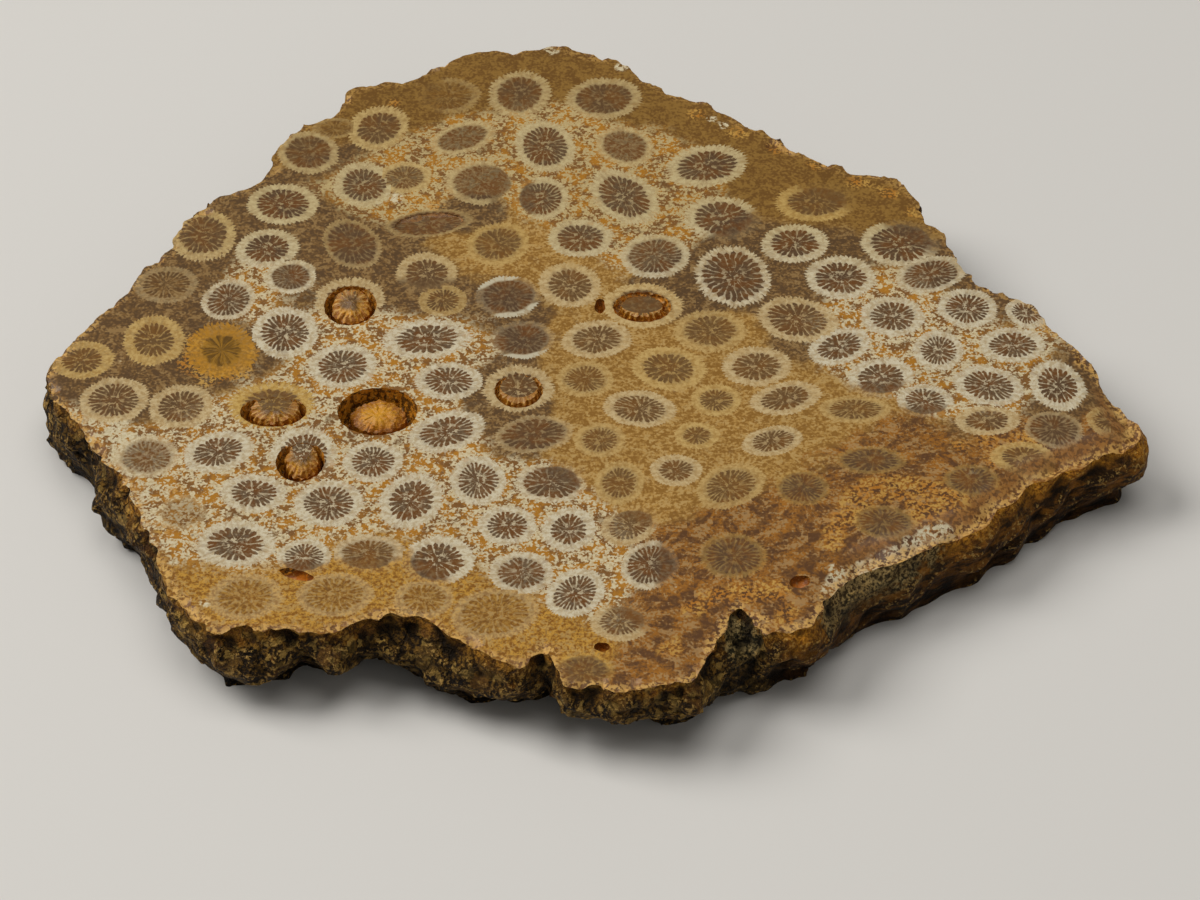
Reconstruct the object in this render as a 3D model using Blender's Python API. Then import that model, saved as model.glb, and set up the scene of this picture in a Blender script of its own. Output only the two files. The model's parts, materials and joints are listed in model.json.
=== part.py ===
"""A flat slab of fossil coral: sawn and polished above, sawn below, broken round its rim.

The lists are in millimetres, and MM turns them into the metres that Blender gets. +Z is up,
the slab lies on z = 0, and the origin is under the middle of its bounding box. Seen from
above, the lists have +X to the right and +Y away from the front of the slab.
"""

import math

import bmesh
import bpy
import numpy as np
from mathutils import Matrix, Vector, noise

MM = 0.001
THICKNESS = 9.0

# The polished face's edge, clockwise from the left tip.
EDGE = [
    (-54.8, -2.5), (-54.3, -0.5), (-53.5, 1.0), (-52.2, 3.2), (-51.0, 5.2), (-50.0, 7.3),
    (-48.8, 8.8), (-47.8, 10.5), (-47.0, 12.3), (-46.2, 13.5), (-45.0, 15.0), (-44.0, 16.0),
    (-44.0, 18.2), (-43.4, 20.0), (-42.0, 21.5), (-41.8, 22.3), (-41.0, 23.3), (-40.2, 24.8),
    (-39.0, 25.4), (-37.5, 25.8), (-36.2, 26.8), (-35.3, 28.0), (-34.3, 29.2), (-34.0, 30.2),
    (-34.3, 31.5), (-34.2, 33.2), (-33.6, 34.6), (-33.0, 35.6), (-31.8, 36.0), (-30.5, 37.1),
    (-29.6, 38.0), (-28.2, 38.6), (-27.5, 40.0), (-27.2, 41.4), (-26.8, 42.5), (-25.5, 43.3),
    (-24.0, 43.7), (-22.5, 43.9), (-21.3, 43.9), (-20.3, 44.7), (-19.5, 45.4), (-18.5, 46.4),
    (-17.0, 47.4), (-15.8, 48.0), (-15.0, 48.9), (-13.4, 49.7), (-11.5, 49.8), (-9.5, 49.8),
    (-7.5, 50.0), (-5.5, 50.4), (-4.0, 50.1), (-2.0, 49.3), (-0.5, 48.7), (1.0, 48.3),
    (2.5, 48.1), (3.3, 47.6), (4.3, 46.2), (5.0, 44.8), (6.2, 43.8), (7.2, 42.7),
    (8.3, 42.0), (9.5, 41.6), (11.0, 41.0), (12.3, 40.6), (13.0, 39.6), (14.2, 38.7),
    (15.5, 37.1), (16.5, 36.4), (18.0, 35.5), (19.0, 34.4), (20.0, 33.2), (21.5, 32.2),
    (23.0, 31.3), (25.0, 30.2), (26.5, 29.2), (27.8, 28.6), (29.0, 28.6), (30.5, 28.0),
    (31.8, 27.2), (32.8, 26.5), (33.4, 25.5), (34.0, 24.0), (34.5, 22.2), (35.0, 20.6),
    (35.8, 19.8), (36.6, 19.0), (37.0, 17.2), (37.4, 15.5), (38.0, 13.8), (38.7, 12.2),
    (39.7, 10.7), (41.0, 9.9), (42.2, 9.2), (43.5, 8.7), (44.6, 8.0), (45.4, 6.5),
    (45.7, 5.2), (46.2, 3.8), (47.5, 2.4), (48.8, 0.8), (49.1, -0.3), (50.2, -1.3),
    (50.6, -3.0), (51.3, -4.5), (51.9, -6.0), (52.3, -7.5), (52.8, -8.7), (53.0, -10.0),
    (52.5, -11.5), (51.3, -12.0), (49.9, -12.9), (48.0, -13.6), (45.5, -14.8), (44.0, -15.8),
    (42.0, -16.7), (40.9, -18.1), (40.4, -19.0), (38.7, -20.1), (37.4, -21.6), (36.2, -22.8),
    (33.5, -24.2), (31.0, -25.5), (29.0, -26.8), (27.0, -27.3), (25.0, -28.2), (23.5, -30.0),
    (22.3, -31.5), (21.5, -33.0), (21.2, -34.4), (20.0, -36.1), (17.9, -36.9), (15.7, -37.5),
    (15.1, -36.6), (14.8, -35.0), (13.8, -33.9), (12.6, -35.0), (11.9, -36.9), (11.0, -38.0),
    (10.2, -40.2), (9.5, -41.9), (8.6, -43.3), (6.2, -43.5), (3.8, -44.0), (2.4, -44.2),
    (1.2, -43.8), (0.2, -43.3), (-1.2, -43.8), (-2.6, -43.8), (-3.2, -42.6), (-3.6, -40.9),
    (-3.8, -39.5), (-4.3, -39.0), (-4.8, -39.1), (-5.7, -40.1), (-6.4, -40.9), (-7.4, -41.1),
    (-8.3, -40.8), (-9.5, -40.0), (-10.7, -39.1), (-11.9, -38.3), (-13.3, -37.6), (-14.3, -36.6),
    (-15.2, -35.7), (-16.4, -35.0), (-17.9, -34.4), (-19.0, -34.5), (-20.0, -34.7), (-21.5, -35.4),
    (-22.7, -36.1), (-24.1, -36.7), (-25.8, -37.3), (-27.0, -37.2), (-28.4, -36.5), (-29.8, -36.6),
    (-32.2, -36.7), (-33.4, -36.4), (-34.6, -37.0), (-35.5, -36.6), (-36.7, -35.4), (-37.9, -34.2),
    (-38.6, -33.0), (-39.3, -32.1), (-39.8, -30.9), (-40.4, -29.7), (-41.0, -28.0), (-41.7, -26.6),
    (-42.4, -25.0), (-43.3, -23.3), (-43.6, -21.9), (-44.2, -20.2), (-44.9, -18.8), (-45.8, -17.3),
    (-46.7, -16.1), (-47.7, -15.0), (-48.4, -13.5), (-49.1, -12.3), (-49.9, -10.9), (-50.6, -9.7),
    (-51.5, -8.5), (-52.2, -7.8), (-52.9, -7.1), (-53.6, -6.1), (-54.3, -5.2), (-54.7, -4.0),
]

# How the broken wall departs from upright. Each row is a place on the edge, how far the wall
# swells out below it, and how far the base is tucked in under it (negative: spread out).
WALL = [
    (-54.8, -2.5, 0.2, 0.2), (-51.0, 5.2, 0.9, 0.8), (-46.2, 13.5, 0.5, 1.5),
    (-41.8, 22.3, 0.8, 0.6), (-34.3, 31.5, 0.3, 1.8), (-25.5, 43.3, 0.9, 0.5),
    (-15.0, 48.9, 0.5, 2.2), (-4.0, 50.1, 0.9, 0.9), (6.2, 43.8, 0.3, 1.6),
    (14.2, 38.7, 0.9, 0.6), (25.0, 30.2, 0.3, 1.8), (33.4, 25.5, 0.8, 0.6),
    (37.0, 17.2, 0.4, 2.0), (45.7, 5.2, 0.6, 1.2), (51.9, -6.0, 0.8, 0.8),
    (53.0, -10.0, 1.5, 0.2), (49.9, -12.9, 1.5, 0.2), (44.0, -15.8, 1.4, -0.6),
    (37.4, -21.6, 1.3, -0.4), (31.0, -25.5, 1.4, -0.3), (25.0, -28.2, 1.8, -0.9),
    (21.5, -33.0, 1.4, 1.1), (17.9, -36.9, 0.9, 1.9), (15.1, -36.6, 1.1, 1.3),
    (13.8, -33.9, 3.8, -0.2), (11.9, -36.9, 2.2, 0.6), (10.2, -40.2, 1.0, 1.6),
    (6.2, -43.5, 0.1, 4.6), (2.4, -44.2, 0.2, 4.4), (-2.6, -43.8, 0.2, 4.6),
    (-4.8, -39.1, 0.2, 2.8), (-7.4, -41.1, 0.5, 3.9), (-10.7, -39.1, 1.6, 1.2),
    (-14.3, -36.6, 2.6, 0.2), (-17.9, -34.4, 2.8, 0.6), (-21.5, -35.4, 0.6, 3.4),
    (-24.1, -36.7, 1.6, 2.6), (-27.0, -37.2, -0.8, 4.4), (-29.8, -36.6, 2.3, 1.6),
    (-33.4, -36.4, 2.5, 1.1), (-36.7, -35.4, 1.6, 1.2), (-39.8, -30.9, 0.2, 2.0),
    (-43.3, -23.3, 1.2, 0.2), (-46.7, -16.1, 1.2, -0.4), (-50.6, -9.7, 0.6, 0.6),
]

# Depths of the wall's rings of vertices, as shares of the thickness.
LEVELS = (0.0, 0.05, 0.13, 0.24, 0.36, 0.48, 0.60, 0.72, 0.83, 0.93, 1.0)
OUTWARD_REACH = 5  # vertices each way that a vertex's outward direction is averaged over
SWELL_DEPTH = 0.42  # share of the thickness at which the wall swells most
TUCK_START = 0.35  # share of the thickness at which the tuck begins
LUMP_SIZE, LUMP_HEIGHT = 6.5, 1.3
KNOB_SIZE, KNOB_HEIGHT = 2.6, 0.75
LEDGE_PITCH, LEDGE_STEP = 2.3, 0.55
LEDGE_DIP = 0.16  # how much the ledges fall, in millimetres for each millimetre along X
RELIEF_FREE = 0.10  # share of the thickness over which relief fades out at the two sawn faces

# Corallites that have weathered into a moat round a fluted stub: centre, half length and
# half width of the moat, the stub's offset and half sizes, moat depth, how far the back of
# the stub's top lies under the face, how much lower its front lies, how much of the moat's
# depth is left behind the stub, and the number of flutes. A stub that would reach above the
# face is level with it there.
MOATS = [
    (-31.8, -7.7, 3.3, 2.2, 0.1, 0.5, 2.7, 1.55, 1.9, -0.15, 1.1, 0.0, 20),
    (-28.7, -14.7, 2.4, 2.8, 0.1, 0.65, 1.75, 2.0, 2.5, -0.15, 1.5, 0.0, 16),
    (-25.0, 7.8, 2.7, 3.0, 0.0, 0.50, 2.1, 2.3, 2.2, 0.05, 1.3, 0.3, 16),
    (-21.5, -7.7, 4.0, 3.4, 0.0, 0.45, 2.8, 2.2, 3.0, 0.9, 1.5, 0.9, 22),
    (-7.6, -4.7, 2.4, 2.5, 0.0, 0.25, 2.1, 2.1, 0.9, -0.15, 0.35, 0.0, 20),
    (4.8, 7.6, 3.0, 2.3, 0.0, 0.15, 2.35, 1.65, 1.0, -0.15, 0.3, 0.7, 20),
]
# A moat's section: place across it (0 the stub's middle, 1 its foot, 2 the moat's rim) and
# depth, as a share of the moat's depth. The stub's top and the lid over the face are added.
MOAT_SECTION = [(2.0, 0.0), (1.88, -0.55), (1.6, -0.95), (1.2, -1.0), (1.0, -0.6)]
STUB_TOP = [0.92, 0.5, 0.0]  # places across the stub's top, from its edge to its middle
STUB_ROUNDING = 1.6  # how late, going outwards, the stub's top begins to fall
BEHIND_FROM, BEHIND_TO = 0.25, 0.85  # sines between which a moat grows shallower at the back
FLUTE_DEPTH = 0.11
LID_HEIGHT = 0.8

# Small hollows: centre, half length, half width, turn in degrees, depth.
BOWLS = [
    (-17.5, 20.6, 3.6, 1.6, 10, 0.35),
    (0.5, 7.7, 0.55, 1.1, 0, 1.4),
    (-28.1, -29.7, 1.7, 0.6, -20, 0.9),
    (0.7, -38.8, 0.75, 0.55, 0, 1.1),
    (19.3, -30.6, 1.0, 0.75, 20, 0.9),
]
BOWL_SEGMENTS, BOWL_RINGS = 14, 8


def clear_scene():
    for item in list(bpy.data.objects):
        bpy.data.objects.remove(item)


def new_collection(name):
    collection = bpy.data.collections.new(name)
    bpy.context.scene.collection.children.link(collection)
    return collection


def stone_material():
    material = bpy.data.materials.new("silicified_coral")
    material.use_nodes = True
    shader = material.node_tree.nodes["Principled BSDF"]
    shader.inputs["Base Color"].default_value = (0.36, 0.24, 0.12, 1.0)
    shader.inputs["Roughness"].default_value = 0.35
    shader.inputs["Metallic"].default_value = 0.0
    return material


def smoothstep(low, high, value):
    share = np.clip((value - low) / (high - low), 0.0, 1.0)
    return share * share * (3.0 - 2.0 * share)


def outward_directions(edge):
    """A unit vector for each point of the edge, averaged along it so that a notch stays open."""
    along = np.roll(edge, -1, axis=0) - np.roll(edge, 1, axis=0)
    along /= np.linalg.norm(along, axis=1)[:, None]
    outward = np.stack([-along[:, 1], along[:, 0]], axis=1)
    shifts = range(-OUTWARD_REACH, OUTWARD_REACH + 1)
    outward = sum(np.roll(outward, shift, axis=0) for shift in shifts)
    return outward / np.linalg.norm(outward, axis=1)[:, None]


def swell_and_tuck(edge):
    """The WALL rows spread along the edge: two values for each of its points."""
    steps = np.linalg.norm(np.roll(edge, -1, axis=0) - edge, axis=1)
    distance = np.concatenate([[0.0], np.cumsum(steps)[:-1]])
    stations = []
    for x, y, swell, tuck in WALL:
        nearest = np.argmin(np.hypot(edge[:, 0] - x, edge[:, 1] - y))
        stations.append((distance[nearest], swell, tuck))
    stations = np.array(sorted(stations))
    girth = steps.sum()
    swell = np.interp(distance, stations[:, 0], stations[:, 1], period=girth)
    tuck = np.interp(distance, stations[:, 0], stations[:, 2], period=girth)
    return swell, tuck


def relief(x, y, depth):
    """Lumps, knobs and ledges of the broken stone, as a distance outwards."""
    place = Vector((x, y, depth))
    lump = noise.noise(place / LUMP_SIZE) * LUMP_HEIGHT
    knob = noise.noise(place / KNOB_SIZE + Vector((7.0, 3.0, 1.0))) * KNOB_HEIGHT
    wander = 2.0 * noise.noise(place / LUMP_SIZE + Vector((0.0, 9.0, 4.0)))
    ledge = ((depth + LEDGE_DIP * x + wander) / LEDGE_PITCH) % 1.0
    return lump + knob + (ledge - 0.5) * LEDGE_STEP


def wall_rings():
    """Rings of points from the polished face down to the base, in millimetres."""
    edge = np.array(EDGE)
    outward = outward_directions(edge)
    swell, tuck = swell_and_tuck(edge)
    rings = []
    for level in LEVELS:
        if level <= SWELL_DEPTH:
            bulge = smoothstep(0.0, SWELL_DEPTH, level)
        else:
            bulge = 1.0 - smoothstep(SWELL_DEPTH, 1.0, level)
        shift = swell * bulge - tuck * smoothstep(TUCK_START, 1.0, level)
        fade = smoothstep(0.0, RELIEF_FREE, level) * smoothstep(0.0, RELIEF_FREE, 1.0 - level)
        depth = THICKNESS * level
        rough = np.array([relief(x, y, depth) for x, y in edge])
        flat = edge + outward * (shift + rough * fade)[:, None]
        height = np.full((len(edge), 1), THICKNESS - depth)
        rings.append(np.hstack([flat, height]))
    return rings


def slab_mesh(rings):
    """A loft through the rings, with a flat face on the first and the last."""
    bm = bmesh.new()
    loops = [[bm.verts.new(Vector(point) * MM) for point in ring] for ring in rings]
    for upper, lower in zip(loops, loops[1:]):
        for near in range(len(upper)):
            far = (near + 1) % len(upper)
            bm.faces.new((upper[near], upper[far], lower[far], lower[near]))
    bm.faces.new(loops[0])
    bm.faces.new(loops[-1])
    walls = [face for face in bm.faces if len(face.verts) == 4]
    bmesh.ops.triangulate(bm, faces=walls)
    bmesh.ops.recalc_face_normals(bm, faces=bm.faces)
    mesh = bpy.data.meshes.new("coral_slab")
    bm.to_mesh(mesh)
    bm.free()
    return mesh


def moat_height(height, across, angle, drop, slope, left_behind):
    """Height of a place in a moat: its stub's top falls forwards, its back is shallower."""
    if height > 0.5 * LID_HEIGHT:
        return height
    if across < 0.95:
        return height - slope * across ** STUB_ROUNDING * (0.5 - 0.5 * math.sin(angle))
    if height > -0.05:
        return height
    share = (math.sin(angle) - BEHIND_FROM) / (BEHIND_TO - BEHIND_FROM)
    behind = min(max(share, 0.0), 1.0)
    level = -drop * behind
    return level + (height - level) * (1.0 - behind * (1.0 - left_behind))


def moat_mesh(row):
    """The space of a moat: its section spun round, then stretched from the stub to the rim."""
    length, width, stub_x, stub_y, stub_length, stub_width, depth = row[2:9]
    drop, slope, left_behind, flutes = row[9:]
    section = [(0.0, LID_HEIGHT), (2.0, LID_HEIGHT)]
    section += [(across, share * depth) for across, share in MOAT_SECTION]
    section += [(across, -drop) for across in STUB_TOP]
    bm = bmesh.new()
    chain = [bm.verts.new((across, 0.0, height)) for across, height in section]
    for first, second in zip(chain, chain[1:]):
        bm.edges.new((first, second))
    turn = {"cent": (0, 0, 0), "axis": (0, 0, 1), "angle": 2 * math.pi, "steps": 2 * flutes}
    bmesh.ops.spin(bm, geom=bm.verts[:] + bm.edges[:], **turn)
    bmesh.ops.remove_doubles(bm, verts=bm.verts, dist=0.001)
    for vert in bm.verts:
        across = math.hypot(vert.co.x, vert.co.y)
        angle = math.atan2(vert.co.y, vert.co.x)
        vert.co.z = moat_height(vert.co.z, across, angle, drop, slope, left_behind)
        flute = round(angle * flutes / math.pi) % 2
        foot = min(across, 1.0) * (1.0 - FLUTE_DEPTH * flute)
        out = max(across - 1.0, 0.0)
        inner = Vector((stub_x + stub_length * foot * math.cos(angle),
                        stub_y + stub_width * foot * math.sin(angle)))
        rim = Vector((length * math.cos(angle), width * math.sin(angle)))
        vert.co.xy = inner.lerp(rim, out)
    bmesh.ops.recalc_face_normals(bm, faces=bm.faces)
    mesh = bpy.data.meshes.new("moat_space")
    bm.to_mesh(mesh)
    bm.free()
    return mesh


def bowl_mesh(length, width, turn, depth):
    """The space of a small hollow: a flattened ball with its middle level with the face."""
    bm = bmesh.new()
    bmesh.ops.create_uvsphere(bm, u_segments=BOWL_SEGMENTS, v_segments=BOWL_RINGS, radius=1.0)
    stretch = Matrix.Diagonal((length, width, depth, 1.0))
    bm.transform(Matrix.Rotation(math.radians(turn), 4, "Z") @ stretch)
    mesh = bpy.data.meshes.new("bowl_space")
    bm.to_mesh(mesh)
    bm.free()
    return mesh


def add_cutter(name, mesh, x, y, collection):
    mesh.transform(Matrix.Scale(MM, 4))
    cutter = bpy.data.objects.new(name, mesh)
    cutter.location = Vector((x, y, THICKNESS)) * MM
    cutter.hide_render = True
    cutter.display_type = "WIRE"
    collection.objects.link(cutter)
    return cutter


def cut(slab, cutter):
    modifier = slab.modifiers.new(cutter.name, "BOOLEAN")
    modifier.operation = "DIFFERENCE"
    modifier.solver = "EXACT"
    modifier.object = cutter


def build():
    clear_scene()
    parts = new_collection("fossil_coral_slab")
    cutters = new_collection("hollow_spaces")

    rings = wall_rings()
    points = np.concatenate(rings)
    middle = (points.min(axis=0) + points.max(axis=0)) / 2.0
    middle[2] = 0.0
    slab = bpy.data.objects.new("coral_slab", slab_mesh([ring - middle for ring in rings]))
    slab.data.materials.append(stone_material())
    parts.objects.link(slab)

    for number, row in enumerate(MOATS, 1):
        x, y = row[0] - middle[0], row[1] - middle[1]
        cut(slab, add_cutter(f"moat_space_{number}", moat_mesh(row), x, y, cutters))
    for number, row in enumerate(BOWLS, 1):
        x, y = row[0] - middle[0], row[1] - middle[1]
        cut(slab, add_cutter(f"bowl_space_{number}", bowl_mesh(*row[2:]), x, y, cutters))


build()
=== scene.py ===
"""Looks of the fossil coral slab: a polished face of cut corallites, and a rough broken rim.

Lists of places are in millimetres on the polished face, +X to the right and +Y to the back.
The slab's own left tip and back edge, read from the frame, say where their zero lies.
"""

import json
import math

import bmesh
import bpy
import numpy as np
from mathutils import Matrix, Vector, kdtree, noise

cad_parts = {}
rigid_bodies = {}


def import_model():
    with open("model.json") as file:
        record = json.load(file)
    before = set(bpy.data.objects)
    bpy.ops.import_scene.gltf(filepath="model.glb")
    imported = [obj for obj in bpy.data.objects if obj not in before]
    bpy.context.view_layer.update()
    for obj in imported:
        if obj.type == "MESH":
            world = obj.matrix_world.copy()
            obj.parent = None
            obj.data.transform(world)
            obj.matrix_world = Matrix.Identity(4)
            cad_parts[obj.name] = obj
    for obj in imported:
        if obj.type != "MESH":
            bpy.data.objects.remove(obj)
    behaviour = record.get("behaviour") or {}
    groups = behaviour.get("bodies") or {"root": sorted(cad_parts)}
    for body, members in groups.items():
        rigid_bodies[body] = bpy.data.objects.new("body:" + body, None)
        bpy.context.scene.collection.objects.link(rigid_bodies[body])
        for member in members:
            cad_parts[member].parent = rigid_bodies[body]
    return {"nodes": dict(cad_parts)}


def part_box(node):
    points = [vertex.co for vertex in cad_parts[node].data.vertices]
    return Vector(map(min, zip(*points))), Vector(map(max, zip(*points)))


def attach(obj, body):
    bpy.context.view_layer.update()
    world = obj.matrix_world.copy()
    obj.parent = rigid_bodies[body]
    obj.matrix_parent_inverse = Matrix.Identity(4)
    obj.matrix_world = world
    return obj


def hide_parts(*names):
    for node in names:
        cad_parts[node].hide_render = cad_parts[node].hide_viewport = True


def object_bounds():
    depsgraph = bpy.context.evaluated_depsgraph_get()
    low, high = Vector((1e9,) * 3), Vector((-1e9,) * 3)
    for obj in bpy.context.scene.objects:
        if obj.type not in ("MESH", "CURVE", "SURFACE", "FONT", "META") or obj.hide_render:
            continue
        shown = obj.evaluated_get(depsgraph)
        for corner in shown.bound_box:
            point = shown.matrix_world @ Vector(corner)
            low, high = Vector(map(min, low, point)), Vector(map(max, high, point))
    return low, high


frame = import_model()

cad_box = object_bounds()

# Noise vectors follow the clock until a seed other than zero is set.
NOISE_SEED = 7
noise.seed_set(NOISE_SEED)

MM = 0.001
NODE = "coral_slab"
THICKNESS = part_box(NODE)[1].z

# Where the outline's left tip and back edge lie in the lists' own coordinates.
TIP_X, BACK_Y = -54.8, 50.4

# ---- what is on the face

# How a corallite shows: ring strength, how golden, how dark inside, how clear its septa are,
# where its ring begins as a share of its radius, how amber inside.
LOOKS = {
    "crisp": (1, 0.1, 0.95, 1, 0.78, 0),
    "cool": (0.9, 0.1, 0.9, 0.7, 0.80, 0),
    "dark": (0.95, 0.2, 1, 0.7, 0.84, 0),
    "soft": (0.75, 0.35, 0.75, 0.55, 0.78, 0),
    "straw": (0.9, 0.6, 0.85, 0.85, 0.77, 0),
    "gold": (0.9, 0.9, 0.9, 0.8, 0.74, 0.1),
    "dimgold": (0.7, 0.85, 0.8, 0.9, 0.76, 0.1),
    "faint": (0.40, 0.6, 0.15, 1, 0.80, 0.3),
    "thin": (0.5, 0.6, 0.95, 0.7, 0.88, 0),
    "ember": (0.32, 1, 0.85, 1, 0.84, 0),
    "amber": (0.75, 1, 0.8, 0.15, 0.56, 0.95),
    "arcs": (0.22, 0.4, 0.95, 0.8, 0.80, 0),
    "plain": (1, 0.75, 1, 0.1, 0.76, 0),
    "bare": (1, 0.15, 0.9, 0.3, 0.80, 0),
    "stub": (1, 1, 1, 0.6, 0.72, 0),
}

# Centre, half length, half width, turn in degrees, look, and the direction of the side on which
# the ring is worn away, if there is one.
CORALLITES = [
    (-8.3, 42.1, 3.8, 3.2, 80, "soft"), (0.95, 41.3, 3.9, 3.3, 10, "soft"),
    (-16.1, 41.8, 3.3, 2.9, 0, "faint", 180), (-5.4, 33.2, 4.1, 3, 100, "crisp"),
    (3.2, 33.2, 3.3, 2.8, 120, "soft"), (-14.3, 34.6, 3.6, 2.3, 30, "soft"),
    (-12.1, 27.2, 3.6, 3.4, 0, "soft", 0), (11.9, 29.9, 4.2, 3.1, 20, "crisp"),
    (-5.7, 24.6, 3.2, 2.7, 90, "crisp", 180), (3.1, 24.9, 4.5, 3, 120, "crisp"),
    (13.3, 21.4, 3.8, 3.3, 0, "crisp", -45), (-17.5, 20.6, 4.2, 2, 10, "thin"),
    (-30.8, 32.2, 3.4, 3.1, 110, "soft"), (-23.4, 36.3, 3.6, 3, 75, "straw"),
    (-33, 23.7, 3.5, 3, -10, "crisp"), (-24.6, 26.8, 3.4, 3, 110, "crisp"),
    (-20.3, 28, 2.7, 2.4, 0, "straw"), (23.3, 24, 4, 2.9, 5, "gold", 45),
    (20.8, 17.4, 3.3, 2.8, 10, "crisp"), (31.8, 17.4, 3.8, 3.4, 0, "crisp", 45),
    (25.3, 12.1, 3.4, 3.1, 0, "crisp"), (34.6, 12.6, 3.6, 2.4, 25, "cool"),
    (14.2, 12.3, 4.4, 3.6, 100, "dark"), (-1.5, 18.2, 3.2, 2.8, 0, "crisp"),
    (6.2, 15.4, 3.4, 3.1, 30, "cool"), (-10.1, 17.3, 3.3, 3, 60, "dimgold"),
    (-17.4, 12.8, 3, 2.9, 0, "straw", -90), (-15.6, 8.6, 2.3, 2.2, 0, "dimgold"),
    (-2.6, 10.9, 3.2, 3, 110, "straw"), (-8.9, 9.2, 3.1, 2.9, 0, "arcs"), (4.8, 7.8, 3.9, 3.1, 0, "plain"),
    (11.7, 4, 3.5, 2.9, 0, "dimgold"), (-7.4, 2.7, 3.1, 2.6, 10, "arcs"), (0.2, 2.8, 3.3, 2.6, 10, "straw"),
    (-17, 2.8, 4.2, 2.7, 5, "crisp"), (-14.6, -3.3, 3.1, 2.5, 0, "crisp"),
    (-7.6, -4.4, 3.3, 3.1, 0, "straw"), (-1, -3.1, 2.6, 2.4, 0, "dimgold"),
    (7.4, -1.5, 3.5, 2.9, -10, "gold"), (16.2, -1.2, 3.3, 2.7, 10, "straw"),
    (20.6, 5.7, 3.9, 3.1, -20, "straw"), (30.3, 6.2, 3, 2.8, 0, "crisp"), (38, 7.4, 2.8, 2.7, 0, "crisp"),
    (44, 6.7, 2.2, 1.9, 120, "crisp"), (24.7, 1.7, 3.3, 2.2, 35, "crisp"),
    (34.6, 1.1, 2.7, 2.3, 80, "crisp"), (42.1, 1.9, 3.1, 2.4, 5, "crisp"),
    (28.6, -2.9, 3.2, 2.6, 20, "crisp", -90), (39.2, -4, 3.3, 2.6, -20, "crisp"),
    (46.1, -4, 3.3, 2.6, 100, "crisp"), (25.7, -7.4, 3.3, 1.8, 0, "dimgold"),
    (32.7, -6.2, 2.6, 2.2, 0, "crisp", -90), (38.7, -9, 3, 1.9, 5, "straw"),
    (45.1, -10.2, 2.6, 2.3, -10, "thin"), (41.8, -14, 3, 1.9, 0, "gold"),
    (50.9, -8.8, 2.2, 2, 0, "dimgold"), (36.5, -17.2, 2.6, 2, 0, "ember"),
    (26.9, -14.5, 3.2, 1.8, 0, "ember"), (20.1, -18.3, 2.4, 2.2, 0, "ember"),
    (-41, 18.7, 3.9, 3.2, 100, "straw"), (-34.1, 16.6, 3.1, 2.8, 15, "crisp"),
    (-31.4, 12.2, 2.5, 2.4, 0, "bare"), (-25.3, 17.3, 3.8, 2.7, 115, "thin"),
    (-44.1, 11, 3, 2.6, 0, "faint"), (-37.5, 8.7, 2.9, 2.5, 80, "dark"),
    (-25.1, 8.6, 3.3, 3.3, 90, "straw"), (-31.4, 3.8, 3.5, 3.1, 100, "crisp"),
    (-44.6, 2.6, 3.4, 2.9, 100, "gold"), (-37.6, 1.1, 3.9, 3.3, 110, "amber"),
    (-25.3, -1.2, 3.2, 3, 0, "crisp"), (-51.5, -0.3, 2.9, 2.6, 0, "gold"),
    (-47.7, -6.1, 3.2, 3, 10, "straw"), (-41, -7, 3, 2.9, 0, "straw"), (-32, -6.7, 4, 3.1, 0, "stub"),
    (-28.4, -13.8, 3.6, 3, 90, "crisp", -90), (-36.8, -13.3, 3.3, 2.5, 25, "crisp"),
    (-43.7, -14, 2.9, 2.7, 0, "soft"), (-21.6, -14.7, 2.7, 2.6, 0, "crisp"),
    (-32.9, -19, 3, 2.4, -10, "crisp"), (-25.6, -20.4, 3.1, 2.9, 0, "crisp"),
    (-39.6, -21.6, 2.2, 2.2, 0, "faint"), (-34.1, -25.7, 3.6, 2.9, -5, "crisp"),
    (-27.5, -27.4, 2.4, 2.1, 0, "crisp", -90), (-32.7, -32.6, 3.3, 2.8, 0, "faint"),
    (-24.3, -32.3, 3.3, 2.6, 0, "faint"), (-21.4, -27, 3.2, 2.3, 0, "soft", -90),
    (-17.7, -20, 3.6, 2.8, 75, "crisp"), (-11.3, -17.3, 3.1, 2.5, 95, "crisp"),
    (-14.5, -10.5, 3.6, 2.5, 25, "crisp"), (-6, -10.9, 3.6, 2.4, 10, "thin"),
    (0.5, -11.7, 2.3, 2.2, 0, "dimgold"), (-4.3, -17.6, 3.2, 2.5, -5, "dark", 45),
    (4.4, -7.3, 3.3, 2.4, -10, "straw"), (2.4, -17.6, 2.8, 2.2, 80, "dimgold"),
    (7.9, -15.9, 2.3, 2, 0, "straw"), (12, -6.1, 2.3, 2.1, 0, "gold"), (10, -11.1, 2, 1.7, 0, "gold"),
    (13.1, -18, 3.4, 2.5, 40, "dimgold"), (17.4, -11.8, 2.8, 1.8, 20, "straw"),
    (18.9, -5.8, 3.4, 2.1, 20, "straw"), (5.2, -28.5, 2.9, 2.5, 70, "dark", 0),
    (-8.3, -23.3, 2.6, 2.4, 0, "crisp"), (-2.5, -23.8, 2.7, 2.3, 80, "crisp"),
    (3.3, -23.3, 2.8, 2.2, 35, "straw", 65), (-6.9, -29.5, 2.8, 2.5, -10, "cool"),
    (-1.8, -32.1, 3, 2.4, 60, "crisp"), (2.4, -35.7, 2.6, 2.2, 0, "straw", 45),
    (-14.8, -27.9, 3.2, 3, 0, "crisp", 225), (-9.3, -34.7, 3.9, 3, 15, "faint"),
    (-16, -32.8, 2.6, 2.3, 0, "faint"), (13.1, -27.3, 3, 2.7, 0, "ember"),
    (27.6, -22.8, 2.8, 2, 0, "ember"), (-1, -41.9, 2.6, 2.3, 0, "ember"),
    (-28.2, 36.2, 2.2, 1.6, 0, "faint"),
]

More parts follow.
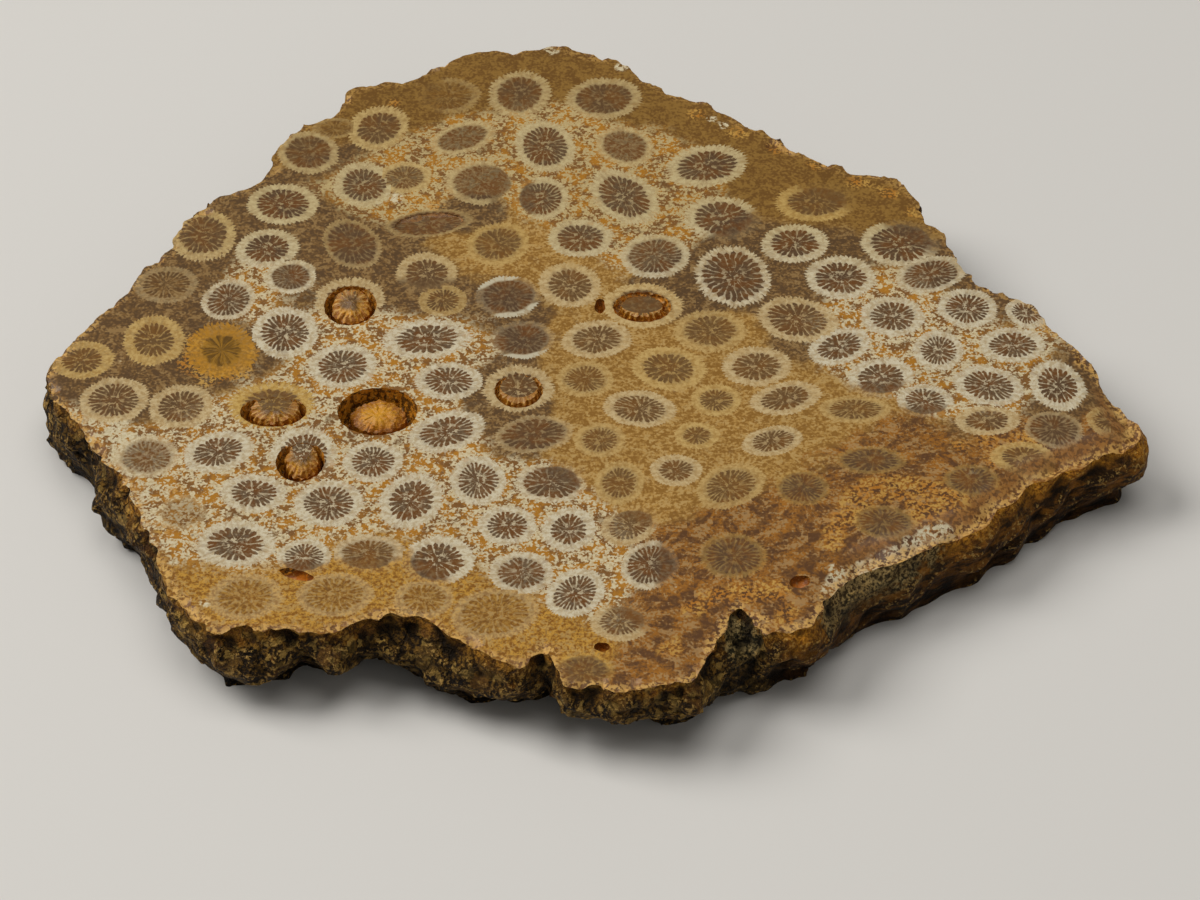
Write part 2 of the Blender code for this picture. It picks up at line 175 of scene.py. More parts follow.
# White arcs on rings: the corallite's centre, the arc's direction, and 1 for both sides.
ARCS = [
    (-8.9, 9.2, -66, 1), (-7.4, 2.7, -80, 0),
]

# Tones of the stone between the corallites: soft patches, by centre and radius.
TONES = {
    "cream": [
        (-37, -14, 8), (-28, -22, 9), (-18, -16, 8), (-31, -4, 6), (-20, -3, 7), (-8, -24, 8), (0, -32, 7),
        (-14, 3, 5), (-34, 9, 6), (-24, 27, 6), (-14, 33, 6), (-2, 27, 7), (3, 20, 6), (12, 25, 5),
        (33, 3, 7), (26, 2, 5), (37, -3, 6), (43, 0, 5), (30, 10, 5), (-45, -14, 5), (-5, 37, 5),
        (8, 33, 5), (-10, -20, 6), (-34, -26, 6),
    ],
    "mauve": [
        (-43, 8, 7), (-38, -2, 5), (-46, 14, 5), (-25, 15, 6), (-40, 20, 5), (-30, 20, 5), (-27, 31, 5),
        (20, 13, 6), (16, 20, 5), (28, 17, 6), (38, 13, 5), (48, -1, 4), (40, 3, 5), (-8, 6, 6),
        (-8, -8, 5), (-15, 9, 5), (-10, -4, 4), (9, 10, 5), (20, 1, 4), (-46, -2, 4), (-44, -8, 4),
        (49, -5, 4), (36, -12, 4), (45, -7, 3), (-34.5, 2.4, 4), (-33.5, -0.8, 3.5), (-31, 8.6, 3),
        (-8.5, -13.6, 3.5), (-12.5, 22.4, 3.5),
    ],
    "honey": [
        (2, -4, 8), (10, -8, 8), (17, -5, 7), (24, -10, 7), (12, 1, 6), (-1, 4, 5), (-4, 14, 6),
        (-11, 15, 6), (2, -13, 6), (13, -15, 6), (20, -14, 6), (5, -10, 6), (-38, 0, 3), (8.5, -21.2, 4.5),
    ],
    "ochre": [
        (-15, 46, 7), (-5, 47, 6), (4, 45, 6), (-24, 41, 6), (12, 37, 6), (20, 30, 7), (28, 26, 7),
        (32, 22, 5), (18, 25, 5), (-31, 36, 5),
    ],
    "amber": [
        (-36, -32, 6), (-27, -33, 7), (-18, -31, 7), (-10, -36, 7), (-22, -30, 5), (-4, -38, 4),
        (0, -41, 4),
    ],
    "rust": [
        (12, -25, 7), (20, -23, 8), (28, -19, 7), (16, -32, 7), (8, -35, 6), (34, -19, 6), (24, -15, 5),
        (38, -17, 5), (30, -13, 5), (10, -29, 5), (44, -15, 5), (8, -41, 4), (3, -42, 3), (51, -9, 3),
        (40, -12, 3),
    ],
}
TONE_LAYERS = {"stone_a": ("cream", "mauve", "honey"), "stone_b": ("ochre", "amber", "rust")}

# Small patches over those tones.
PATCHES = {
    "chalk": [
        (31.8, -24.2, 1.3), (29.9, -25.5, 1.4), (28.1, -26.7, 1.4), (26.3, -27.8, 1.3), (24.6, -28.9, 1.3),
        (23.2, -30.2, 1.4), (21.9, -31.4, 1), (33.6, -23.2, 1.1), (-46.8, -10.5, 1.5), (-45.4, -13, 1.1),
        (-47.8, -9, 1.1), (-46.4, -12, 1.1), (-44.6, -16.2, 1), (-43.4, -19.4, 0.9), (-41.8, -22.6, 1),
        (-40.6, -25.4, 0.9), (-39.6, -28, 0.8), (-36.5, -33.6, 0.6), (-40, -20.5, 0.8), (-38, -24, 0.8),
        (-5, 49.6, 1), (3, 46.8, 1), (12.4, 37.8, 0.8), (14, 36.8, 0.8), (-22.5, 24.5, 1.1),
        (-20.8, 24.6, 0.9), (36.8, -16, 0.9), (31.5, 5.2, 1), (30, 3.6, 0.8), (34.2, 4.4, 0.8),
    ],
    "fire": [
        (29, -18.2, 2.6), (32.4, -19, 2.2), (25.6, -19.2, 2), (23.6, -22.2, 2), (31.6, -22, 1.8),
        (22.6, -25.4, 1.7), (35, -20, 1.8), (39, -18.6, 1.6), (11, -32.6, 1.6), (14, -32.2, 1.9),
        (17.2, -31.6, 1.9), (18, -35.2, 1.8), (7, -39, 2), (9, -34, 1.6), (-41, -24, 1.3),
        (-40.5, -18.5, 1.2), (50, -12, 1.6), (38.5, -11.4, 1.8), (42, -11.6, 1.6), (35.6, -12.6, 1.2),
        (44.8, -13.6, 1.4), (38.8, -14.6, 1.4), (-16.9, 23.2, 1.6), (-22, 40.5, 1.2), (-40.4, 2.6, 1.7),
        (-41, -0.8, 1.8), (-38.4, -2.8, 1.9), (-35.4, -2, 1.6), (-34.6, 1.2, 1.3), (11, 38.6, 1.5),
        (15.4, 35.6, 1.6), (19.4, 32.8, 1.7), (23.6, 30.2, 1.7), (27.8, 27.4, 1.7), (31.2, 25.4, 1.6),
        (33.6, 22.4, 1.4),
    ],
    "grime": [
        (13.4, -36.5, 3.2), (23.5, -31, 2.2), (26.5, -28.8, 2.4), (29.5, -26.4, 2.2), (32.2, -24.2, 1.8),
        (24.5, -31.5, 2.4), (21.5, -33.5, 1.8),
    ],
}

# Corallites weathered into a moat round a fluted stub: centre, half length and half width of
# the moat, the stub's offset and half sizes, moat depth, the stub's drop (below zero, the back
# of its top stays polished), how much lower its front edge is, flutes, share of the depth left
# behind the stub, how amber and how ribbed it is.
MOATS = [
    (-31.8, -7.7, 3.3, 2.2, 0.1, 0.5, 2.7, 1.55, 1.9, -0.15, 1.1, 20, 0, 0.45, 0.9),
    (-28.7, -14.7, 2.4, 2.8, 0.1, 0.65, 1.75, 2, 2.5, -0.15, 1.5, 16, 0, 0.8, 0.6),
    (-25, 7.8, 2.7, 3, 0, 0.50, 2.1, 2.3, 2.2, 0.05, 1.3, 16, 0.30, 0.6, 0.9),
    (-21.5, -7.7, 4, 3.4, 0, 0.45, 2.8, 2.2, 3, 0.9, 1.5, 22, 0.9, 1, 0.2),
    (-7.6, -4.7, 2.4, 2.5, 0, 0.25, 2.1, 2.1, 0.9, -0.15, 0.35, 20, 0, 0.4, 0.7),
    (4.8, 7.6, 3, 2.3, 0, 0.15, 2.35, 1.65, 1, -0.15, 0.3, 20, 0.7, 0.5, 0.9),
]
# Across a moat (0 the stub's middle, 1 its foot, 2 the rim), and the share of its depth there.
MOAT_SECTION = [
    (2.0, 0.0), (1.97, -0.12), (1.90, -0.40), (1.78, -0.68), (1.6, -0.88), (1.4, -0.98),
    (1.2, -1.0), (1.06, -0.9), (1.0, -0.7), (0.98, -0.45),
]
STUB_TOP = [0.92, 0.8, 0.65, 0.5, 0.33, 0.16, 0.0]
FLUTE_DEPTH, RIM_FLUTE_DEPTH = 0.10, 0.06
STEPS_A_FLUTE = 6
MOAT_ROUGHNESS = 0.12
CRUMBLE_BELOW, CRUMBLE_AT_FACE = 0.22, 0.06
BEHIND_FROM, BEHIND_TO = 0.25, 0.85  # sines of the angles where the back of a moat begins
JUST_BELOW = -0.05  # under this height a cutter's points lie below the polished face
BOWL_ROUGHNESS = 0.16

# Small hollows: centre, half length, half width, turn in degrees, depth, how amber.
BOWLS = [
    (0.5, 7.7, 0.55, 1.1, 0, 1.4, 1),
    (-28.1, -29.7, 1.7, 0.6, -20, 0.9, 1),
    (0.7, -38.8, 0.75, 0.55, 0, 1.1, 0.7),
    (19.3, -30.6, 1, 0.75, 20, 0.9, 0.2),
]

# A shallow dip, polished like the face.
DIPS = [(-17.5, 20.6, 3.6, 1.6, 10, 0.35)]

# ---- small helpers


def only(item):
    """Makes one object the whole selection."""
    bpy.ops.object.select_all(action="DESELECT")
    item.select_set(True)
    bpy.context.view_layer.objects.active = item


def edit(item):
    only(item)
    bpy.ops.object.mode_set(mode="EDIT")


def leave_edit():
    bpy.ops.object.mode_set(mode="OBJECT")


def select(item, test):
    """In edit mode, selects the faces whose centre and normal pass the test."""
    bpy.ops.mesh.select_mode(type="FACE")
    bpy.ops.mesh.select_all(action="DESELECT")
    bm = bmesh.from_edit_mesh(item.data)
    for face in bm.faces:
        face.select_set(test(face.calc_center_median(), face.normal))
    bmesh.update_edit_mesh(item.data)


def new_object(name, data):
    item = bpy.data.objects.new(name, data)
    bpy.context.scene.collection.objects.link(item)
    return item


def apply(item, kind, **settings):
    """Adds a modifier, sets it and applies it."""
    modifier = item.modifiers.new(kind.lower(), kind)
    for key, value in settings.items():
        setattr(modifier, key, value)
    only(item)
    bpy.ops.object.modifier_apply(modifier=modifier.name)


def extrude(height):
    """Draws what is selected out upwards, or downwards for a height below zero."""
    bpy.ops.mesh.extrude_region_move(TRANSFORM_OT_translate={"value": (0.0, 0.0, height)})


def finish_edit():
    """Turns every face outwards, and leaves edit mode."""
    bpy.ops.mesh.select_all(action="SELECT")
    bpy.ops.mesh.normals_make_consistent(inside=False)
    leave_edit()


def values_of(items, key, width=1, kind=float):
    """A number, or a row of them, for each vertex, edge, corner or face."""
    values = np.empty(len(items) * width, kind)
    items.foreach_get(key, values)
    return values.reshape(-1, width) if width > 1 else values


def points_of(item):
    return values_of(item.data.vertices, "co", 3)


def write_layer(mesh, name, domain, values):
    """Three numbers for each vertex or corner, for the paint to read."""
    layer = mesh.attributes.new(name, "FLOAT_VECTOR", domain)
    layer.data.foreach_set("vector", values.ravel())


def patch_share(places, patches):
    """How far each place lies within a set of soft round patches."""
    total = np.zeros(len(places))
    for x, y, radius in patches:
        away = np.hypot(places[:, 0] - x, places[:, 1] - y) / radius
        total += np.exp(-away * away)
    return total


def move_points(item, places):
    item.data.vertices.foreach_set("co", places.ravel())
    item.data.update()


def smoothstep(low, high, value):
    share = np.clip((value - low) / (high - low), 0.0, 1.0)
    return share * share * (3.0 - 2.0 * share)


# ---- the slab's shape

SPARE = 2.0 * MM  # stone left above and below the sawn faces until they are cut
ROUGH_VOXEL = 0.36 * MM
VOXEL = 0.335 * MM
FACE_CELL = 0.5 * MM
BASE_CELL = 1.2 * MM
EDGE_SPARE = 0.02 * MM  # how far the crags stay inside the solid's own box
BLADE_SPARE = 10 * MM  # how much wider than the slab a saw blade is
BLADE_THICKNESS = 3 * SPARE
RIM_STEP = 0.3 * MM  # between the points that stand for the polished face's edge
FACET_ANGLE = 17  # degrees, above which an edge between two facets stays sharp


def rough_block(node):
    """A copy of the solid without its hollows, taller than it, ready to be sawn."""
    block = new_object("polished_coral_slab", node.data.copy())
    block.data.materials.clear()
    edit(block)
    bpy.ops.mesh.select_all(action="SELECT")
    bpy.ops.mesh.remove_doubles(threshold=1e-7)
    level = 0.01 * MM
    select(block, lambda centre, normal: centre.z > THICKNESS - level and normal.z > 0.5)
    bpy.ops.mesh.delete(type="FACE")
    select(block, lambda centre, normal: centre.z < level)
    bpy.ops.mesh.select_linked()
    bpy.ops.mesh.select_all(action="INVERT")
    bpy.ops.mesh.delete(type="FACE")
    select(block, lambda centre, normal: centre.z < level)
    extrude(-SPARE)
    bpy.ops.mesh.select_mode(type="EDGE")
    bpy.ops.mesh.select_all(action="DESELECT")
    bpy.ops.mesh.select_non_manifold()
    leave_edit()
    rim = [vert.co.xy.copy() for vert in block.data.vertices if vert.select]
    edit(block)
    extrude(SPARE)
    bpy.ops.mesh.edge_face_add()
    finish_edit()
    return block, rim


# Places on the wall that stick out or lie back: centre, height, radius, distance outwards.
WALL_MARKS = [
    (47.5, -14.2, 7.6, 1.5, 0.7), (46.5, -14.2, 5.6, 1.3, -0.9), (51.8, -9, 6, 2.5, 0.4),
    (-26.4, -37, 4.5, 1.2, -1.1), (-24.2, -37, 4.5, 1.6, 0.5), (-8.5, -40.5, 5.5, 1.2, 0.5),
    (-18, -34.8, 7, 1.5, -0.5), (-11, -39, 3.5, 1.4, 0.5), (-31.5, -37, 5, 2, 0.5),
    (13.4, -36, 1.5, 3.2, 2), (26, -28.5, 5, 2.5, -0.5), (31, -26, 3, 2.5, 0.4),
    (42, -17.5, 4.5, 1.4, -0.5),
]
MARK_FLATNESS = 1.4  # how much shorter a mark is than it is wide

# The wall's relief in millimetres: how wide its forms are and how far they stand out.
LUMP_SIZE, LUMP_HEIGHT = 3.8, 0.50
LEDGE_PITCH, LEDGE_STEP = 1.15, 0.55
LEDGE_DIP, LEDGE_WANDER = 0.12, 1.6
FLAKE_SIZE, FLAKE_TILT, FLAKE_STEP = 1.45, 1.30, 0.30
# At the right of the front the wall is worn into slanting folds instead.
WORN_FROM, WORN_FULL, WORN_BACK, WORN_SHARE = 20.0, 26.0, 2.0, 0.85
FLOW_STEP, FOLD_STEP, WORN_DEPTH = 0.55, 0.22, 0.3
SLANT_RISE, SLANT_RUN = 0.82, 0.57


def crags(block, zero):
    """Breaks the rim's surface up into lumps, ledges and flakes."""
    places = points_of(block)
    normals = values_of(block.data.vertices, "normal", 3)
    out = np.zeros(len(places))
    flat = places / MM
    for number, place in enumerate(flat):
        spot = Vector(place)
        x, y = spot.x - zero.x, spot.y - zero.y
        worn = min(max((x - WORN_FROM) / (WORN_FULL - WORN_FROM), 0.0), 1.0) * (y < WORN_BACK)
        wander = LEDGE_WANDER * noise.noise(spot / 4.0)
        lump = noise.fractal(spot / LUMP_SIZE, 1.0, 2.1, 2) * LUMP_HEIGHT
        ledge = ((spot.z + LEDGE_DIP * spot.x + wander) / LEDGE_PITCH) % 1.0
        share = 0.5 + noise.noise(spot / 2.5 + Vector((5.0, 0.0, 0.0)))
        ledge = (ledge - 0.5) * LEDGE_STEP * share
        centre = noise.voronoi(spot / FLAKE_SIZE)[1][0]
        tilt = noise.noise_vector(centre * 7.3)
        flake = (spot / FLAKE_SIZE - centre).dot(tilt) * FLAKE_TILT + tilt.z * FLAKE_STEP
        rough = lump + ledge + flake
        across = spot.z * SLANT_RISE - spot.x * SLANT_RUN
        along = spot.z * SLANT_RUN + spot.x * SLANT_RISE
        flow = noise.noise(Vector((along / 7.0, across / 1.5, spot.y / 6.0)))
        fold = noise.noise(Vector((along / 3.0, across / 0.7, 3.0 + spot.y / 4.0)))
        eased = (1.0 - 2.0 * abs(flow)) * FLOW_STEP - WORN_DEPTH + fold * FOLD_STEP
        out[number] = rough + (eased - rough) * worn * WORN_SHARE
    for x, y, height, radius, amount in WALL_MARKS:
        away = (flat[:, 0] - x - zero.x) ** 2 + (flat[:, 1] - y - zero.y) ** 2
        away += ((flat[:, 2] - height) * MARK_FLATNESS) ** 2
        out += amount * np.exp(-away / radius ** 2)
    low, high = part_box(NODE)
    places += normals * out[:, None] * MM
    for axis in range(2):
        places[:, axis].clip(low[axis] + EDGE_SPARE, high[axis] - EDGE_SPARE, places[:, axis])
    move_points(block, places)


def roughen(block, zero):
    """The rough block, in even facets fine enough to show flakes."""
    apply(block, "REMESH", mode="VOXEL", voxel_size=ROUGH_VOXEL)
    crags(block, zero)
    apply(block, "REMESH", mode="VOXEL", voxel_size=VOXEL)


def blade(name, cell, height, thickness, shape=None):
    """A block with a fine grid on the side that cuts, at that height, thick away from it."""
    low, high = cad_box
    size = max(high.x - low.x, high.y - low.y) + BLADE_SPARE
    count = round(size / cell)
    bpy.ops.mesh.primitive_grid_add(
        x_subdivisions=count, y_subdivisions=count, size=size, location=(0.0, 0.0, height)
    )
    item = bpy.context.object
    item.name = name
    bpy.ops.object.transform_apply()
    if shape:
        places = points_of(item)
        places[:, 2] += shape(places)
        move_points(item, places)
    edit(item)
    bpy.ops.mesh.select_all(action="SELECT")
    extrude(thickness)
    finish_edit()
    return item


def rim_distance(places, rim):
    """How far each place is from the polished face's edge, in metres."""
    tree = kdtree.KDTree(len(rim))
    for number, point in enumerate(rim):
        tree.insert((point.x, point.y, 0.0), number)
    tree.balance()
    return np.array([tree.find((x, y, 0.0))[2] for x, y in places[:, :2]])


# Chips along the polished edge: how far in they may lie, and their least reach and depth.
CHIP_ZONE, CHIP_REACH, CHIP_DEPTH = 4.0, 0.20, 0.10
# How far the face falls at its edge at the front right, and over what distance.
SLUMP_DEPTH, SLUMP_REACH = 1.1, 1.7


def face_shape(rim, zero):
    """Heights of the polished face: flat, chipped at its edge, low at the front right."""

    def heights(places):
        gap = rim_distance(places, rim) / MM
        across = places[:, 0] / MM - zero.x
        along = places[:, 1] / MM - zero.y
        lows = np.zeros(len(places))
        for number in np.flatnonzero(gap < CHIP_ZONE):
            spot = Vector(places[number] / MM)
            chip = max(noise.noise(spot / 1.7) + 0.5 * noise.noise(spot / 0.7) - 0.1, 0.0)
            reach = CHIP_REACH + chip
            steep = 1.0 - min(gap[number] / reach / 1.6, 1.0)
            lows[number] = (CHIP_DEPTH + 0.9 * chip) * steep
        slump = SLUMP_DEPTH * np.exp(-((gap / SLUMP_REACH) ** 2))
        front_right = smoothstep(20, 27, across) * smoothstep(2, -8, along)
        return -(lows + slump * front_right) * MM

    return heights


def moat_cutter(number, row, zero):
    """The space of a moat, fluted on both sides and uneven."""
    x, y, length, width, stub_x, stub_y, stub_length, stub_width = row[:8]
    depth, drop, slope, flutes, left_behind, _, ribs = row[8:]
    section = [(0.0, 1.5), (2.0, 1.5)]
    section += [(across, share * depth) for across, share in MOAT_SECTION]
    section += [(across, -drop) for across in STUB_TOP]
    mesh = bpy.data.meshes.new(f"moat_{number}")
    corners = [(across, 0.0, height) for across, height in section]
    mesh.from_pydata(corners, [(i, i + 1) for i in range(len(corners) - 1)], [])
    cutter = new_object(f"moat_{number}", mesh)
    steps = flutes * STEPS_A_FLUTE
    apply(cutter, "SCREW", steps=steps, render_steps=steps, use_merge_vertices=True,
          merge_threshold=0.001)
    places = points_of(cutter)
    level = places[:, 2]  # not a copy: what changes here changes in places
    across = np.hypot(places[:, 0], places[:, 1])
    angle = np.arctan2(places[:, 1], places[:, 0])
    top = (across < 0.95) & (level < 1.0)
    level -= top * slope * across ** 1.6 * (0.5 - 0.5 * np.sin(angle))
    wobble = np.sin(angle * 3.0 + number) * 0.35 + np.sin(angle * 5.0 + 2.0 * number) * 0.2
    flute = np.abs(np.cos(angle * flutes / 2.0 + wobble)) ** 1.6
    flute = flute * (0.75 + 0.25 * np.sin(angle * 7.0 + 3.0 * number))
    near_foot = smoothstep(0.8, 0.97, across) * (1.0 - smoothstep(1.2, 1.9, across))
    foot = np.minimum(across, 1.0) * (1.0 - FLUTE_DEPTH * ribs * (1.0 - flute) * near_foot)
    near_rim = smoothstep(1.6, 1.95, across)
    out = np.maximum(across - 1.0, 0.0) * (1.0 - RIM_FLUTE_DEPTH * (1.0 - flute) * near_rim)
    inner = np.stack([stub_x + stub_length * foot * np.cos(angle),
                      stub_y + stub_width * foot * np.sin(angle)], axis=1)
    outer = np.stack([length * np.cos(angle), width * np.sin(angle)], axis=1)
    flat = inner + (outer - inner) * out[:, None]
    spots = [Vector(spot) for spot in np.column_stack([flat, level])]
    rough = np.array([noise.noise(spot * 1.6) + 0.8 * noise.noise(spot * 3.7) for spot in spots])
    rough *= MOAT_ROUGHNESS
    crumble = np.array([noise.noise_vector(spot * 2.6).xy for spot in spots])
    under = level < JUST_BELOW
    flat += crumble * np.where(under, CRUMBLE_BELOW, CRUMBLE_AT_FACE)[:, None]
    behind = smoothstep(BEHIND_FROM, BEHIND_TO, np.sin(angle)) * smoothstep(0.95, 1.0, across)
    below = under & (across < 1.99)
    sunk = (level + drop * behind) * (1.0 - behind * (1.0 - left_behind))
    level[:] = np.where(below, -drop * behind + sunk, level)
    places[:, 0] = flat[:, 0] + zero.x + x
    places[:, 1] = flat[:, 1] + zero.y + y
    level += np.where(below, rough * 1.5, 0.0)
    level += THICKNESS / MM
    move_points(cutter, places * MM)
    edit(cutter)
    finish_edit()
    return cutter


def bowl_cutter(number, row, zero):
    """The space of a small hollow: an uneven, stretched ball."""
    x, y, length, width, turn, depth = row[:6]
    bpy.ops.mesh.primitive_ico_sphere_add(subdivisions=4, radius=1.0)
    cutter = bpy.context.object
    cutter.name = f"bowl_{number}"
    stretch = Matrix.Diagonal((length, width, depth, 1.0))
    cutter.data.transform(Matrix.Rotation(math.radians(turn), 4, "Z") @ stretch)
    places = points_of(cutter)
    for place in places:
        place += noise.noise_vector(Vector(place) * 1.3) * BOWL_ROUGHNESS
    places += (zero.x + x, zero.y + y, THICKNESS / MM)
    move_points(cutter, places * MM)
    return cutter


def cut(slab, cutter, material):
    """Takes the cutter's space out of the slab, and leaves its material on the new surface."""
    cutter.data.materials.clear()
    cutter.data.materials.append(material)
    apply(slab, "BOOLEAN", operation="DIFFERENCE", solver="MANIFOLD", object=cutter,
          material_mode="TRANSFER")
    bpy.data.objects.remove(cutter)


# ---- what the paint reads

CREVICE_PASSES = 12  # how often the shape is smoothed to find what lies in a crevice
GOLDEN_SHARE = 0.618034  # spreads the corallites' seeds evenly
CALYX_LAYERS = ["calyx", "calyx_look", "calyx_more", "calyx_arc", "calyx_worn"]

# Each hollow's stub, or the hollow itself: centre, half sizes, flutes, how amber, how ribbed.
HOLLOWS = [(row[0] + row[4], row[1] + row[5], *row[6:8], row[11], *row[13:]) for row in MOATS]
HOLLOWS += [(*row[:4], 0, row[6], 0.0) for row in BOWLS]

# The corallites, each with the direction in which its ring is worn or None.
RINGS = [row if len(row) == 7 else row + (None,) for row in CORALLITES]


def direction(degrees):
    angle = math.radians(degrees)
    return math.cos(angle), math.sin(angle)


def turned(x, y, row):
    """Places as seen from a corallite, its ring's outer edge being 1 away."""
    cosine, sine = direction(row[4])
    dx, dy = x - row[0], y - row[1]
    u = (dx * cosine + dy * sine) / row[2]
    v = (dy * cosine - dx * sine) / row[3]
    return u, v


def nearest_rings(x, y):
    """The number of the corallite whose edge each place is nearest to."""
    best = np.full(len(x), np.inf)
    owner = np.zeros(len(x), int)
    for number, row in enumerate(RINGS):
        u, v = turned(x, y, row)
        gap = (np.hypot(u, v) - 1.0) * (row[2] + row[3]) / 2.0
        closer = gap < best
        best[closer] = gap[closer]
        owner[closer] = number
    return owner


def write_corallites(slab, zero):
    """Gives each face corner its place in the nearest corallite, and that one's look."""
    mesh = slab.data
    centres = values_of(mesh.polygons, "center", 3) / MM - np.array(zero)
    totals = values_of(mesh.polygons, "loop_total", kind=int)
    owner = np.repeat(nearest_rings(centres[:, 0], centres[:, 1]), totals)
    vertex = values_of(mesh.loops, "vertex_index", kind=int)
    corner = points_of(slab)[vertex] / MM - np.array(zero)
    layers = {name: np.zeros((len(vertex), 3)) for name in CALYX_LAYERS}
    calyx, look, more, arc, worn = layers.values()
    for number, row in enumerate(RINGS):
        mine = owner == number
        u, v = turned(corner[mine, 0], corner[mine, 1], row)
        seed = (number * GOLDEN_SHARE) % 1.0
        calyx[mine] = np.stack([u, v, np.full(len(u), seed)], axis=1)
        look[mine] = LOOKS[row[5]][:3]
        more[mine] = LOOKS[row[5]][3:]
        for x, y, angle, both in ARCS:
            if (x, y) == row[:2]:
                arc[mine] = (*direction(angle - row[4]), both)
        toward = (0.0, 0.0) if row[6] is None else direction(row[6] - row[4])
        worn[mine] = (*toward, (row[2] + row[3]) / 2.0)
    materials = values_of(mesh.polygons, "material_index", kind=int)
    in_hollow = np.repeat(materials == mesh.materials.find("hollow_lining"), totals)
    centre = np.repeat(centres[:, :2], totals, axis=0)
    nearest = np.full(len(vertex), np.inf)
    for x, y, length, width, flutes, amber, ribs in HOLLOWS:
        gap = np.hypot((centre[:, 0] - x) / length, (centre[:, 1] - y) / width)
        mine = in_hollow & (gap < nearest)
        nearest[mine] = gap[mine]
        calyx[mine, 0] = (corner[mine, 0] - x) / length
        calyx[mine, 1] = (corner[mine, 1] - y) / width
        calyx[mine, 2] = flutes
        look[mine] = (amber, ribs, 0.0)
    for name, values in layers.items():
        write_layer(mesh, name, "CORNER", values)


def write_tones(slab, zero):
    """Each vertex's share of the stone's tones, and of the patches over them."""
    places = points_of(slab) / MM - np.array(zero)
    shares = {tone: patch_share(places, patches) ** 2 for tone, patches in TONES.items()}
    whole = sum(shares.values()) + 1e-6
    for name, tones in TONE_LAYERS.items():
        values = np.stack([shares[tone] / whole for tone in tones], axis=1)
        write_layer(slab.data, name, "POINT", values)
    over = [patch_share(places, patches) for patches in PATCHES.values()]
    write_layer(slab.data, "stone_c", "POINT", np.stack(over, axis=1))


def write_edges(slab, edge):
    """Each vertex's distance from the polished edge, and how deep in a crevice it lies."""
    places = points_of(slab)
    gap = rim_distance(places, edge) / MM
    ends = values_of(slab.data.edges, "vertices", 2, int)
    normals = values_of(slab.data.vertices, "normal", 3)
    links = np.zeros(len(places))
    np.add.at(links, ends.ravel(), 1)
    smooth = places.copy()
    for _ in range(CREVICE_PASSES):
        total = np.zeros_like(smooth)
        np.add.at(total, ends[:, 0], smooth[ends[:, 1]])
        np.add.at(total, ends[:, 1], smooth[ends[:, 0]])
        smooth = total / np.maximum(links, 1)[:, None]
    sunk = ((smooth - places) * normals).sum(axis=1) / MM
    write_layer(slab.data, "relief", "POINT", np.stack([gap, sunk, np.zeros(len(gap))], axis=1))


# ---- paint


def srgb(red, green, blue):
    """A colour in numbers from 0 to 255, as the shader needs it."""
    def linear(value):
        share = value / 255.0
        return share / 12.92 if share <= 0.04045 else ((share + 0.055) / 1.055) ** 2.4
    return (linear(red), linear(green), linear(blue), 1.0)


def sums(operation):
    """The method for one kind of sum, and the one for when the signal comes second."""
    return (lambda self, other: self.paint.math(operation, self, other),
            lambda self, other: self.paint.math(operation, other, self))


class Signal:
    """A socket that can be used in ordinary sums, each of which adds its Math node."""

    def __init__(self, paint, socket):
        self.paint = paint
        self.socket = socket

    __add__, __radd__ = sums("ADD")
    __sub__, __rsub__ = sums("SUBTRACT")
    __mul__, __rmul__ = sums("MULTIPLY")
    __truediv__ = sums("DIVIDE")[0]

    def part(self, output):
        """Another output of the same node."""
        return Signal(self.paint, self.socket.node.outputs[output])


QUARTZ_IOR = 1.54


